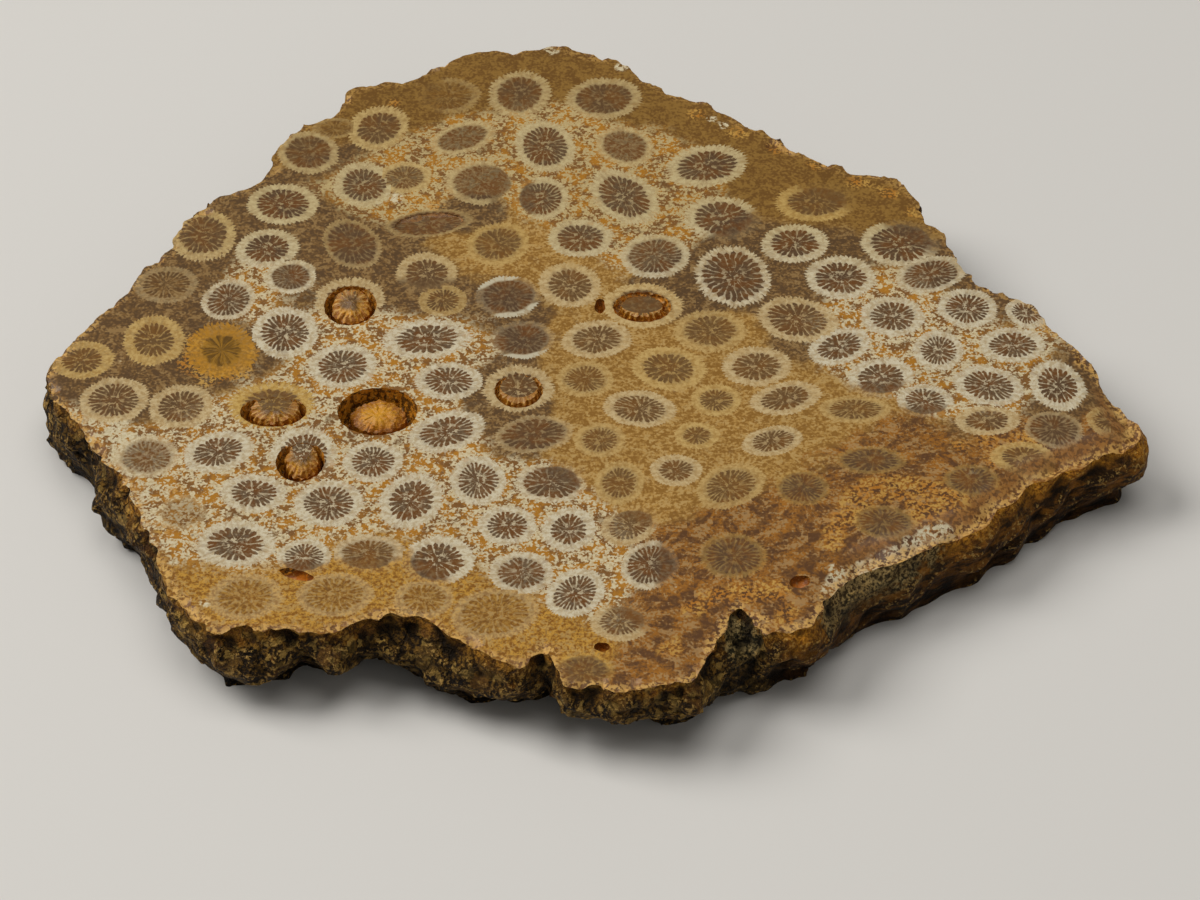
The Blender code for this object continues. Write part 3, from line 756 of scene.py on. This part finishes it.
class Paint:
    """A material being made."""

    def __init__(self, name):
        self.material = bpy.data.materials.new(name)
        self.material.use_nodes = True
        self.tree = self.material.node_tree
        self.shader = self.tree.nodes["Principled BSDF"]

    def set(self, socket, value):
        if isinstance(value, Signal):
            self.tree.links.new(value.socket, socket)
        else:
            socket.default_value = srgb(*value) if socket.type == "RGBA" else value

    def node(self, kind, settings=None, sockets=None, output=0):
        """Adds a node: its settings first, then its sockets' values or links."""
        made = self.tree.nodes.new("ShaderNode" + kind)
        for key, value in (settings or {}).items():
            setattr(made, key, value)
        for key, value in (sockets or {}).items():
            self.set(made.inputs[key], value)
        return Signal(self, made.outputs[output])

    def math(self, operation, *values):
        return self.node("Math", {"operation": operation}, dict(enumerate(values)))

    def step(self, value, low, high):
        """0 below low, 1 above high, and smooth between them. low may be the greater."""
        settings = {"interpolation_type": "SMOOTHSTEP"}
        if low < high:
            return self.node("MapRange", settings, {0: value, 1: low, 2: high})
        return self.node("MapRange", settings, {0: value, 1: high, 2: low, 3: 1.0, 4: 0.0})

    def mix(self, share, first, second):
        return self.node("Mix", {"data_type": "RGBA"}, {0: share, 6: first, 7: second}, 2)

    def vector(self, operation, *values):
        return self.node("VectorMath", {"operation": operation}, dict(enumerate(values)))

    def shade(self, colour, factor):
        """A colour made lighter or darker by a number that varies."""
        return self.node("VectorMath", {"operation": "SCALE"}, {0: colour, 3: factor})

    def split(self, vector):
        made = self.node("SeparateXYZ", None, {0: vector})
        return made, made.part(1), made.part(2)

    def read(self, name):
        """The three numbers of one of the mesh's layers."""
        return self.split(self.node("Attribute", {"attribute_name": name}, output="Vector"))

    def place(self):
        """Object coordinates, in millimetres."""
        return self.shade(self.node("TexCoord", output="Object"), 1.0 / MM)

    def noise(self, place, size, detail=2.0, rough=0.5, output="Fac"):
        """Cloudy noise whose blobs are about that many millimetres across."""
        sockets = {"Vector": place, "Scale": 1.0 / size, "Detail": detail, "Roughness": rough}
        return self.node("TexNoise", None, sockets, output)

    def cells(self, place, size, output, feature="F1"):
        """Chips of stone about that many millimetres across."""
        sockets = {"Vector": place, "Scale": 1.0 / size}
        return self.node("TexVoronoi", {"feature": feature}, sockets, output)

    def finish(self, colour, roughness, height=None, depth=0.05, shine=0.35):
        """Links colour, roughness and a height of that depth in millimetres, and sets the shine."""
        self.set(self.shader.inputs["Base Color"], colour)
        self.set(self.shader.inputs["Roughness"], roughness)
        self.shader.inputs["IOR"].default_value = QUARTZ_IOR
        self.shader.inputs["Specular IOR Level"].default_value = shine
        if height is not None:
            bump = self.node("Bump", None, {"Distance": depth * MM, "Height": height}, "Normal")
            self.set(self.shader.inputs["Normal"], bump)
        return self.material


CREAM, CREAM_SHADE = (207, 197, 170), (168, 144, 102)
GOLD, GOLD_SHADE = (194, 159, 88), (154, 112, 44)
DARK_MAUVE, DARK_RUST = (82, 60, 40), (104, 63, 24)
MID_MAUVE = (118, 94, 62)


def calyx_frame(paint, place):
    """Place in the nearest corallite, its seed, and streaks that run out from it."""
    u, v, seed = paint.read("calyx")
    shift_x, shift_y, _ = paint.split(paint.noise(place, 1.7, 1.0, 0.5, "Color"))
    u = u + (shift_x - 0.5) * 0.20
    v = v + (shift_y - 0.5) * 0.20
    away = paint.math("SQRT", u * u + v * v)
    beside = {0: u / away * 5.0, 1: v / away * 5.0, 2: away * 1.3 + seed * 40.0}
    ray = paint.node("CombineXYZ", None, beside)
    return u, v, seed, away, paint.noise(ray, 1.0, 2.0, 0.6)


def stone_between(paint, place, streak):
    """Colour of the stone between the corallites, and its grain."""
    mix, step = paint.mix, paint.step
    cream, mauve, _ = paint.read("stone_a")
    ochre, amber, rust = paint.read("stone_b")
    chalk, fire, _ = paint.read("stone_c")
    wide = paint.noise(place, 9.0)
    broad = paint.noise(place, 2.2, 3.0, 0.6)
    grain = paint.noise(place, 0.50, 2.5, 0.62)
    fleck = paint.noise(place, 0.30, 1.0, 0.5)
    stray = (broad - 0.5) * 1.1
    _, y, _ = paint.split(place)
    fine = step(grain * 0.35 + fleck * 0.3 + streak * 0.35, 0.44, 0.56)
    hair = step(fleck * 0.4 + streak * 0.6, 0.53, 0.58)
    colour = mix(fine, (136, 96, 38), (172, 132, 68))
    colour = mix(hair * 0.35, colour, (186, 158, 104))
    dusky = mix(fine, (89, 65, 38), (121, 89, 48))
    dusky = mix(hair * 0.5, dusky, (154, 124, 78))
    colour = mix(step(mauve + stray, 0.15, 0.7), colour, dusky)
    blobs = paint.noise(place, 0.58, 2.0, 0.66)
    spots = step(blobs * 0.7 + fleck * 0.3, 0.54, 0.47)
    spotted = mix(step(broad, 0.42, 0.58), (168, 113, 32), (124, 84, 40))
    back = step(y + (wide - 0.5) * 14.0, 4.0, 20.0)
    chalky = mix(back, (203, 187, 149), (186, 163, 112))
    chalky = mix(step(fleck, 0.58, 0.40) * 0.5, chalky, (176, 146, 96))
    pale = mix(spots, chalky, spotted)
    pale = mix(step(grain, 0.60, 0.68) * 0.7, pale, (104, 78, 54))
    pale = mix(step(broad, 0.60, 0.68) * 0.5, pale, dusky)
    colour = mix(step(cream + stray, 0.12, 0.6), colour, pale)
    brown = mix(fine, (108, 74, 28), (138, 102, 44))
    colour = mix(step(ochre + stray, 0.15, 0.7), colour, brown)
    warm = mix(step(grain * 0.6 + fleck * 0.4, 0.40, 0.58), (130, 84, 24), (188, 140, 56))
    warm = mix(step(fleck, 0.56, 0.64) * 0.6, warm, (100, 66, 22))
    warm = mix(hair * 0.5, warm, (182, 148, 88))
    colour = mix(step(amber + stray, 0.2, 0.7), colour, warm)
    clouded = step(broad * 0.35 + streak * 0.35 + grain * 0.3, 0.44, 0.56)
    burnt = mix(clouded, (92, 60, 32), (156, 100, 30))
    burnt = mix(fine * 0.5, burnt, (144, 100, 46))
    burnt = mix(step(grain, 0.54, 0.62) * 0.6, burnt, (78, 52, 30))
    burnt = mix(hair * 0.6, burnt, (166, 134, 88))
    colour = mix(step(rust + stray, 0.2, 0.7), colour, burnt)
    crumbs = step(grain * 0.6 + fleck * 0.4, 0.48, 0.54)
    fiery = mix(step(broad, 0.4, 0.6), (178, 114, 32), (190, 146, 70))
    colour = mix(step(fire + stray, 0.45, 0.9) * crumbs * 0.85, colour, fiery)
    chalk = step(chalk + stray * 2.0, 0.5, 0.8) * step(grain, 0.44, 0.52)
    colour = mix(chalk, colour, mix(fleck, (178, 156, 108), (222, 212, 182)))
    colour = paint.shade(colour, 0.84 + 0.32 * wide)
    return colour, grain, fleck, broad, back


def corallite_marks(paint, frame_of, grain, broad, back):
    """Where the pale skeleton and the dark inside show, and the colour of each."""
    mix, step = paint.mix, paint.step
    u, v, seed, away, streak = frame_of
    ring, gold, dark = paint.read("calyx_look")
    clear, ring_start, fill = paint.read("calyx_more")
    arc_x, arc_y, both = paint.read("calyx_arc")
    worn_x, worn_y, radius = paint.read("calyx_worn")
    speck = grain - 0.5
    count = 22.0 + 2.0 * paint.math("FLOOR", seed * 3.99)
    spoke = paint.math("ARCTAN2", v, u) / (2.0 * math.pi) * count + speck * 0.7
    odd = paint.math("FLOORED_MODULO", paint.math("FLOOR", spoke), 2.0)
    sector = away * radius * (2.0 * math.pi) / count
    arc = paint.math("ABSOLUTE", paint.math("FRACT", spoke) - 0.5) * sector
    fine_arc = paint.math("ABSOLUTE", paint.math("FRACT", spoke * 2.0) - 0.5) * sector * 0.5
    start = ring_start + (seed - 0.5) * 0.07
    closing = step(away - start, -0.08, 0.08)
    width = 0.028 + 0.05 * step(away, 0.25, 0.7) + 0.38 * closing
    width = width + (streak - 0.5) * 0.10
    reach = 0.10 + 0.42 * odd + (broad - 0.5) * 0.3
    septa = step(width - arc + speck * 0.26, -0.04, 0.05)
    septa = septa * step(away - reach, 0.0, 0.12)
    middle = step(away, 0.50, 0.25) * step(grain, 0.53, 0.58)
    septa = paint.math("MAXIMUM", septa, middle) * (clear + (1.0 - clear) * closing)
    fringe = 0.30 - 0.34 * step(away, 0.95, 1.18) + (streak - 0.5) * 0.25
    edge = step(fringe - fine_arc + speck * 0.10, -0.05, 0.06)
    bone = septa * edge * step(away, 1.32, 1.22)
    bone = bone * (1.0 - 0.4 * step(streak + speck * 0.5, 0.5, 0.66))
    side = u * worn_x + v * worn_y
    kept = 1.0 - 0.9 * step(side + (broad - 0.5) * 0.6, 0.05, 0.55)
    toward = u * arc_x + v * arc_y
    toward = paint.math("MAXIMUM", toward, 0.0 - toward * both)
    lit = step(toward + (broad - 0.5) * 0.4, 0.62, 0.80) * bone * closing
    inside = step(away - start + speck * 0.1, 0.14, 0.02)
    bone = bone * (1.0 - 0.35 * (1.0 - closing) * back)
    tint = mix(gold, mix(back * 0.8, CREAM, (190, 170, 118)), GOLD)
    tint_shade = mix(gold, CREAM_SHADE, GOLD_SHADE)
    tint = mix(step(fill, 0.5, 0.9), tint, (186, 130, 30))
    tint = mix(step(grain, 0.60, 0.36) * 0.7, tint, tint_shade)
    tint = mix(step(away, 0.75, 0.3) * 0.45, tint, tint_shade)
    tint = mix(lit, tint, (196, 186, 158))
    deep = mix(step(broad, 0.40, 0.62), DARK_MAUVE, DARK_RUST)
    deep = mix(step(grain, 0.46, 0.66) * 0.6, deep, MID_MAUVE)
    deep = mix(gold * ring * 0.5, deep, (116, 84, 40))
    honeyed = mix(step(streak, 0.4, 0.6), (96, 66, 10), (150, 106, 20))
    deep = mix(fill, deep, honeyed)
    bone = paint.math("MAXIMUM", bone * ring * kept, lit * 0.9)
    return bone, inside * (0.3 + 0.66 * dark), deep, tint


def coral(paint, place, strong, inner):
    """The corallites in their stone: how strongly their skeleton and their insides show."""
    frame_of = calyx_frame(paint, place)
    colour, grain, fleck, broad, back = stone_between(paint, place, frame_of[4])
    bone, inside, deep, tint = corallite_marks(paint, frame_of, grain, broad, back)
    colour = paint.mix(inside * inner, colour, deep)
    return paint.mix(bone * strong, colour, tint), bone, grain, fleck, broad


def polished_face():
    """Cut and polished stone: rings, septa and costae over a granular ground."""
    paint = Paint("polished_face")
    mix, step = paint.mix, paint.step
    place = paint.place()
    colour, bone, grain, fleck, broad = coral(paint, place, 1.0, 1.0)
    gap, _, _ = paint.read("relief")
    _, _, up = paint.split(paint.node("NewGeometry", output="Normal"))
    chalk, _, _ = paint.read("stone_c")
    worn = step(up + (grain - 0.5) * 0.1, 0.98, 0.90) * step(chalk, 0.7, 0.3)
    # Fresh broken stone on the slopes, and crumbs along the broken edge: their own colour, painted bright
    # gold right at the edge as a painted highlight, stronger at the front.
    crumbs = step(gap + (broad - 0.5) * 2.4, 1.1, 0.2)
    fresh_and_highlit = mix(crumbs, (150, 98, 36), (206, 160, 84))
    fresh_and_highlit = mix(step(grain * 0.7 + fleck * 0.3, 0.44, 0.54), (106, 66, 18), fresh_and_highlit)
    _, y, _ = paint.split(place)
    crumbs = crumbs * (0.3 + 0.5 * step(y, 12.0, -8.0))
    worn = paint.math("MAXIMUM", worn * 0.8, crumbs * step(grain, 0.44, 0.52))
    colour = mix(worn, colour, fresh_and_highlit)
    roughness = 0.30 + 0.14 * step(fleck, 0.5, 0.7) + 0.35 * worn
    height = bone * 0.3 + grain * (0.3 + 2.0 * worn)
    return paint.finish(colour, roughness, height, 0.04)


def broken_rim():
    """Rough stone: olive brown and grainy at the front, amber along the right."""
    paint = Paint("broken_rim")
    mix, step = paint.mix, paint.step
    place = paint.place()
    x, y, z = paint.split(place)
    _, sunk, _ = paint.read("relief")
    _, _, grime = paint.read("stone_c")
    grain = paint.noise(place, 0.38, 3.0, 0.68)
    blotch = paint.noise(place, 3.0, 3.0, 0.6)
    shifts = paint.noise(place, 1.1, 3.0, 0.65, "Color")
    warped = paint.vector("MULTIPLY_ADD", shifts, (1.2, 1.2, 1.2), place)
    pick, warmth, light = paint.split(paint.cells(warped, 1.8, "Color"))
    coarse = paint.noise(place, 1.1, 3.0, 0.65)
    cracks = paint.cells(warped, 2.4, "Distance", "DISTANCE_TO_EDGE")
    facet, gleam, _ = paint.split(paint.cells(warped, 0.62, "Color"))
    mottle = grain * 0.8 + coarse * 0.2
    right = step(x + (blotch - 0.5) * 10.0, 14.0, 22.0) * step(y, 6.0, -2.0)
    right = paint.math("MAXIMUM", right, step(blotch, 0.62, 0.72) * 0.5)
    colour = mix(step(mottle, 0.45, 0.59), (38, 24, 5), (120, 86, 30))
    chip = mix(warmth, (134, 84, 34), (128, 102, 46))
    colour = mix(step(pick, 0.76, 0.82) * 0.45, colour, chip)
    colour = mix(step(gleam, 0.80, 0.86) * (1.0 - right) * 0.6, colour, (186, 148, 74))
    streaks = paint.noise(paint.vector("MULTIPLY", place, (0.45, 0.45, 1.3)), 0.9, 3.0, 0.65)
    amber = mix(step(streaks * 0.7 + blotch * 0.3, 0.42, 0.58), (50, 30, 5), (138, 88, 24))
    colour = mix(right, colour, amber)
    solid = paint.math("MAXIMUM", step(cracks, 0.0, 0.07), right * 0.8)
    # Painted highlight: the top of the wall lighter and orange gold, most along the right.
    high = step(z + (blotch - 0.5) * 2.5 + right, THICKNESS / MM - 1.8, THICKNESS / MM - 0.2)
    crest_highlight = mix(step(grain, 0.36, 0.62), (122, 70, 10), (212, 144, 40))
    colour = mix(high * (0.45 + 0.45 * right), colour, crest_highlight)
    green = step(grime + (coarse - 0.5) * 1.4, 0.5, 0.8) * step(z, 4.0, 7.0)
    mossy = mix(step(grain, 0.44, 0.56), (50, 46, 26), (160, 138, 90))
    colour = mix(green * 0.85, colour, mossy)
    # Painted light and shade: chips and facets lit or shaded one by one, painted shade along the cracks,
    # and painted shade darkening the wall towards its foot.
    foot = step(z + (coarse - 0.5) * 3.0, 6.5, 1.5)
    lighter = (0.6 + 0.4 * solid) * (0.66 + 0.5 * light)
    colour = paint.shade(colour, lighter * (0.78 + 0.44 * facet) * (1.0 - 0.70 * foot))
    shaded = step(sunk + (grain - 0.5) * 0.2, 0.02, 0.22)
    colour = mix(shaded * 0.85, colour, (20, 12, 3))
    glint = step(sunk, 0.0, -0.14) * step(grain, 0.54, 0.62)
    colour = mix(glint * 0.7, colour, (194, 154, 84))
    height = grain * 0.8 + coarse + solid * 0.5 + facet * 0.5
    return paint.finish(colour, 0.50 + 0.3 * grain, height, 0.85, 0.12)


def hollow_lining():
    """Weathered corallites: pale ribs down an amber stub, duller on its top."""
    paint = Paint("hollow_lining")
    mix, step = paint.mix, paint.step
    place = paint.place()
    _, _, z = paint.split(place)
    depth = THICKNESS / MM - z
    u, v, flutes = paint.read("calyx")
    amber, ribbed, _ = paint.read("calyx_look")
    _, _, up = paint.split(paint.node("NewGeometry", output="Normal"))
    grain = paint.noise(place, 0.38, 2.0, 0.6)
    broad = paint.noise(place, 1.3, 2.0, 0.6)
    away = paint.math("SQRT", u * u + v * v)
    spoke = paint.math("ARCTAN2", v, u) / (2.0 * math.pi) * flutes + (broad - 0.5) * 1.2
    rib = paint.math("ABSOLUTE", paint.math("FRACT", spoke + 0.5) - 0.5)
    furrow = rib * ribbed + 0.22 * (1.0 - ribbed)
    streaky = step(grain * 0.6 + furrow * step(away, 0.3, 0.9), 0.34, 0.52)
    high = mix(streaky, (200, 140, 28), (156, 96, 10))
    low = mix(streaky, (178, 102, 12), (120, 64, 4))
    # Painted shade: the lining's amber darker further down, less in the amber ones and more in the small
    # bowls.
    shade_depth = depth * (1.0 - 0.5 * amber) + (broad - 0.5) * 1.4
    shade_depth = shade_depth + 1.4 * (1.0 - step(flutes, 0.0, 1.0))
    colour = mix(step(shade_depth, 0.3, 1.4), high, low)
    wall = step(away, 1.04, 1.16)
    crumb = paint.noise(place, 0.5, 2.0, 0.6)
    gloom = mix(ribbed, (80, 50, 10), (126, 76, 12))
    speckle = mix(step(crumb, 0.44, 0.56), gloom, (206, 134, 32))
    colour = mix(wall * 0.9, colour, speckle)
    outer = step(away + (broad - 0.5) * 0.4, 0.35, 0.75)
    brown = mix(outer, (90, 68, 50), (158, 106, 40))
    top = step(up, 0.5, 0.8) * step(away, 1.0, 0.85) * step(amber, 0.98, 0.9)
    top = top * step(depth + (broad - 0.5) * 0.5, 0.55, 0.15)
    colour = mix(top * 0.85, colour, brown)
    pale = step(rib + (grain - 0.5) * 0.3, 0.20, 0.10) * ribbed
    pale = pale * step(depth, 1.5, 0.5) * step(broad, 0.34, 0.54)
    pale = pale * (1.0 - wall * (1.0 - ribbed)) * step(away, 0.35, 0.6)
    colour = mix(pale * 0.5, colour, (206, 172, 108))
    colour = mix(step(grain, 0.60, 0.68) * 0.25, colour, (214, 178, 96))
    return paint.finish(colour, 0.40 + 0.2 * grain, grain, 0.12)


def sawn_underside():
    """The same corallites, sawn but not polished, under a film of dust."""
    paint = Paint("sawn_underside")
    place = paint.place()
    colour, _, grain, _, broad = coral(paint, place, 0.6, 0.7)
    colour = paint.mix(0.45, colour, (160, 138, 104))
    x, y, _ = paint.split(place)
    saw = paint.math("SINE", (x + 0.35 * y + broad * 0.8) * 5.2)
    return paint.finish(colour, 0.72 + 0.1 * grain, saw * 0.35 + grain, 0.03)


# ---- building it


def make_slab():
    block, rim = rough_block(frame["nodes"][NODE])
    left = min(point.x for point in rim)
    back = max(point.y for point in rim)
    zero = Vector((left / MM - TIP_X, back / MM - BACK_Y, 0.0))
    edge = filled(rim)
    block.data.materials.append(broken_rim())
    roughen(block, zero)
    polish, lining = polished_face(), hollow_lining()
    face = blade("top_blade", FACE_CELL, THICKNESS, BLADE_THICKNESS, face_shape(edge, zero))
    cut(block, face, polish)
    cut(block, blade("base_blade", BASE_CELL, 0.0, -BLADE_THICKNESS), sawn_underside())
    hollows = ((moat_cutter, MOATS, lining), (bowl_cutter, BOWLS, lining), (bowl_cutter, DIPS, polish))
    for cutter, rows, material in hollows:
        for number, row in enumerate(rows, 1):
            cut(block, cutter(number, row, zero), material)
    write_corallites(block, zero)
    write_tones(block, zero)
    write_edges(block, edge)
    only(block)
    bpy.ops.object.shade_smooth_by_angle(angle=math.radians(FACET_ANGLE))
    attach(block, "root")
    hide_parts(NODE)
    return zero


def filled(rim):
    """The rim's corners in order round the slab, with points added between neighbours."""
    order = sorted(rim, key=lambda point: math.atan2(point.y, point.x))
    points = []
    for first, second in zip(order, order[1:] + order[:1]):
        steps = max(1, round((second - first).length / RIM_STEP))
        points += [first.lerp(second, step / steps) for step in range(steps)]
    return points


FLOOR_SIZE, FLOOR_GAP = 4.0, 0.02 * MM


def make_floor():
    bpy.ops.mesh.primitive_plane_add(size=FLOOR_SIZE, location=(0.0, 0.0, -FLOOR_GAP))
    floor = bpy.context.object
    floor.name = "studio_floor"
    floor.data.materials.append(Paint("pale_floor").finish((214, 210, 203), 0.7))


# Name, place, size and power of each light. All point at the slab.
LIGHTS = [
    ("key", (-0.75, 0.17, 0.86), 0.65, 9.6),
    ("top", (0.08, -0.02, 0.90), 0.60, 2.6),
    ("fill", (0.40, -0.50, 0.45), 0.60, 0.3),
]
BACKDROP_STRENGTH = 0.18


def make_light():
    for name, place, size, power in LIGHTS:
        data = bpy.data.lights.new(name, "AREA")
        data.size = size
        data.energy = power
        light = new_object(name, data)
        light.location = place
        light.rotation_euler = (-Vector(place)).to_track_quat("-Z", "Y").to_euler()
    world = bpy.data.worlds.new("studio")
    world.use_nodes = True
    backdrop = world.node_tree.nodes["Background"]
    backdrop.inputs["Color"].default_value = srgb(226, 226, 224)
    backdrop.inputs["Strength"].default_value = BACKDROP_STRENGTH
    bpy.context.scene.world = world


CAMERA_PLACE = (0.5025, -243.82, 238.918)
CAMERA_DOWN = 44.9
LENS, SENSOR = 100.0, 36.0


def make_camera(zero):
    """The camera looks along +Y and down at the slab."""
    data = bpy.data.cameras.new("camera")
    data.lens = LENS
    data.sensor_width = SENSOR
    data.clip_start = 0.01
    camera = new_object("camera", data)
    x, y, z = CAMERA_PLACE
    camera.location = (MM * (x + zero.x), MM * (y + zero.y), MM * z)
    camera.rotation_euler = (math.radians(90.0 - CAMERA_DOWN), 0.0, 0.0)
    bpy.context.scene.camera = camera


zero = make_slab()
make_floor()
make_light()
make_camera(zero)
bpy.context.scene.view_settings.view_transform = "Standard"
